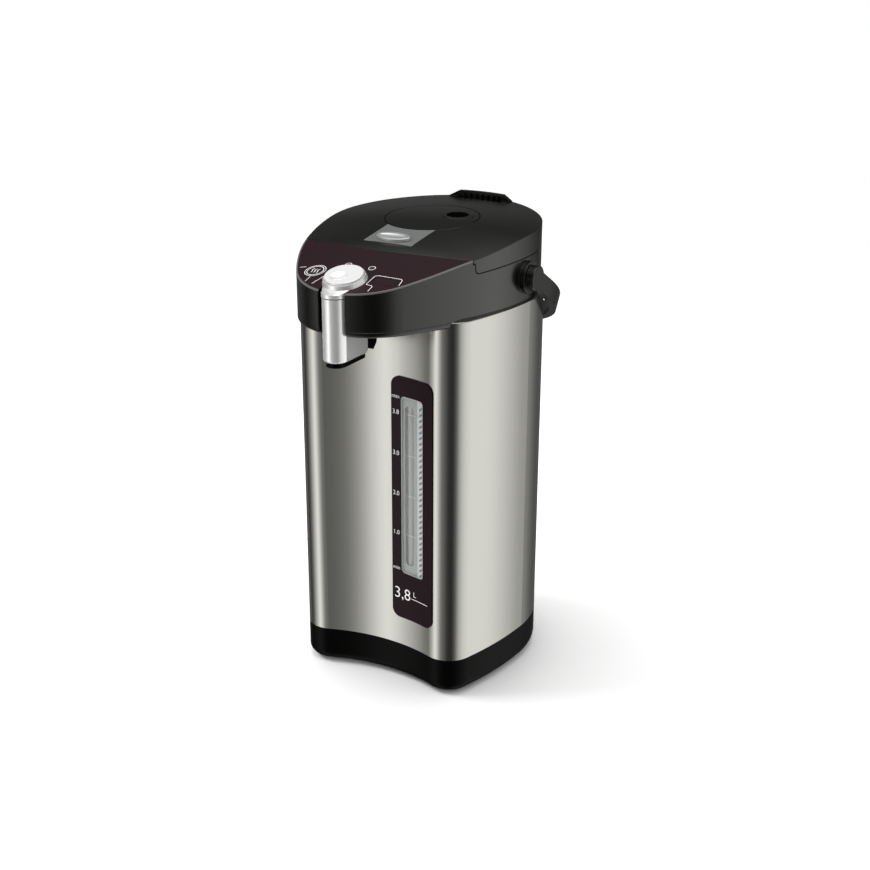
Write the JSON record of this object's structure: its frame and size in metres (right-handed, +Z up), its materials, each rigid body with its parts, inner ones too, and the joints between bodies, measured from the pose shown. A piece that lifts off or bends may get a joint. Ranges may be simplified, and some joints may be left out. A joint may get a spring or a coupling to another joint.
{
  "type": "electric thermo pot",
  "caption": "tall electric hot-water dispenser with steel body, hinged lid with hand pump, press knob and cup lever over a front spout, water window and bail handle",
  "frame": {"origin": "on the table, under the middle of the outline from the spout's front to the hanging handle's back", "axes": "+Z up, -Y towards the spout, +X to the right of someone who faces the spout"},
  "size_m": [0.2038, 0.2726, 0.3993],
  "materials": {
    "black_plastic": "satin moulded",
    "grey_plastic": "metallic grey lacquer",
    "black_gloss": "polished",
    "dark_film": "printed film",
    "steel_sleeve": "brushed",
    "steel_inner": "satin",
    "steel_pin": "bright",
    "chrome": "mirror plated",
    "silver_button": "silver lacquer",
    "white_plastic": "natural",
    "silicone": "translucent silicone",
    "rubber": "matt",
    "clear": "clear",
    "lamp": "tinted lens",
    "felt": "fibre mat",
    "aluminium": "cast",
    "copper_steel": "wound motor",
    "brass": "plated",
    "board": "fibreglass laminate",
    "components": "moulded"
  },
  "bodies": {
    "housing": {"base_shell": "black_plastic", "base_plate": "black_plastic", "rubber_feet": "rubber", "base_screws": "steel_pin", "power_inlet": "black_plastic", "inlet_pins": "brass", "body_sleeve": "steel_sleeve", "window_frame": "black_plastic", "window_lens": "clear", "gauge_strip": "white_plastic", "collar": "black_gloss", "nose_cover": "black_plastic", "cup_switch": "components", "control_deck": "black_plastic", "panel_film": "dark_film", "panel_trim": "grey_plastic", "led_lenses": "lamp", "control_board": "board", "push_switches": "components", "spout_cover": "chrome", "spout_nozzle": "black_plastic", "neck_ring": "black_plastic", "spout_head": "chrome", "inner_pot": "steel_inner", "mouth_ring": "silicone", "insulation_wrap": "felt", "tie_rods": "steel_pin", "heating_plate": "aluminium", "thermostats": "components", "pump_motor": "copper_steel", "pump_volute": "white_plastic", "inlet_hose": "silicone", "lower_hose": "silicone", "level_tube": "clear", "upper_hose": "silicone", "power_board": "board", "board_components": "components", "hinge_pin": "steel_pin", "handle_ears": "black_plastic", "handle_pins": "steel_pin"},
    "lid": {"lid_shell": "black_gloss", "latch_plate": "grey_plastic", "latch_spring": "steel_pin", "lid_liner": "black_plastic", "lid_seal": "silicone", "inner_lid": "steel_inner", "air_valve": "white_plastic", "pump_bellows": "silicone", "pump_spring": "steel_pin"},
    "latch": {"latch_slider": "silver_button"},
    "hand_pump": {"pump_plate": "black_gloss", "vent_rim": "black_gloss"},
    "lid_release": {"release_grip": "black_plastic"},
    "pour_button": {"pour_knob": "silver_button"},
    "round_key": {"ring_key": "dark_film"},
    "oblong_key": {"bar_key": "dark_film"},
    "dispense_lever": {"cup_lever": "black_plastic"},
    "handle": {"handle_bail": "black_plastic"},
    "motor_rotor": {"magnet_rotor": "components"},
    "pump_wheel": {"impeller": "white_plastic"}
  },
  "joints": [
    {"name": "lid_hinge", "type": "hinge", "parent": "housing", "child": "lid", "pos_m": [0, 0.11252, 0.3865], "axis": [-1, 0, 0], "range_deg": [0, 80]},
    {"name": "handle_swing", "type": "hinge", "parent": "housing", "child": "handle", "pos_m": [0, 0.02172, 0.3546], "axis": [1, 0, 0], "range_deg": [0, 121]},
    {"name": "latch_slide", "type": "slide", "parent": "lid", "child": "latch", "axis": [0, 0.9867, 0.1628], "range_m": [0, 0.0045], "stiffness_N_per_m": 150, "springref_m": -0.002},
    {"name": "hand_pump_press", "type": "slide", "parent": "lid", "child": "hand_pump", "axis": [0, 0, -1], "range_m": [0, 0.016], "stiffness_N_per_m": 200, "springref_m": -0.006, "deforming": ["pump_bellows", "pump_spring"]},
    {"name": "lid_release_slide", "type": "slide", "parent": "lid", "child": "lid_release", "axis": [0, -1, 0], "range_m": [0, 0.003], "stiffness_N_per_m": 100, "springref_m": -0.002},
    {"name": "pour_button_press", "type": "slide", "parent": "housing", "child": "pour_button", "axis": [0, 0.2568, -0.9665], "range_m": [0, 0.0025], "stiffness_N_per_m": 100, "springref_m": -0.002},
    {"name": "round_key_press", "type": "slide", "parent": "housing", "child": "round_key", "axis": [0, 0.2568, -0.9665], "range_m": [0, 0.0008], "stiffness_N_per_m": 60, "springref_m": -0.001},
    {"name": "oblong_key_press", "type": "slide", "parent": "housing", "child": "oblong_key", "axis": [0, 0.2568, -0.9665], "range_m": [0, 0.0008], "stiffness_N_per_m": 60, "springref_m": -0.001},
    {"name": "dispense_lever_swing", "type": "hinge", "parent": "housing", "child": "dispense_lever", "pos_m": [0, -0.07548, 0.338], "axis": [1, 0, 0], "range_deg": [0, 10], "stiffness_Nm_per_rad": 0.003, "springref_deg": -5.16},
    {"name": "motor_spin", "type": "hinge", "parent": "housing", "child": "motor_rotor", "pos_m": [0.0285, -0.01298, 0.038], "axis": [0, 0, 1], "continuous": true},
    {"name": "pump_wheel_spin", "type": "hinge", "parent": "housing", "child": "pump_wheel", "pos_m": [0.0285, -0.01298, 0.048], "axis": [0, 0, 1], "continuous": true}
  ],
  "couplings": [
    {"joint": "pump_wheel_spin", "follows": "motor_spin", "ratio": 1}
  ]
}
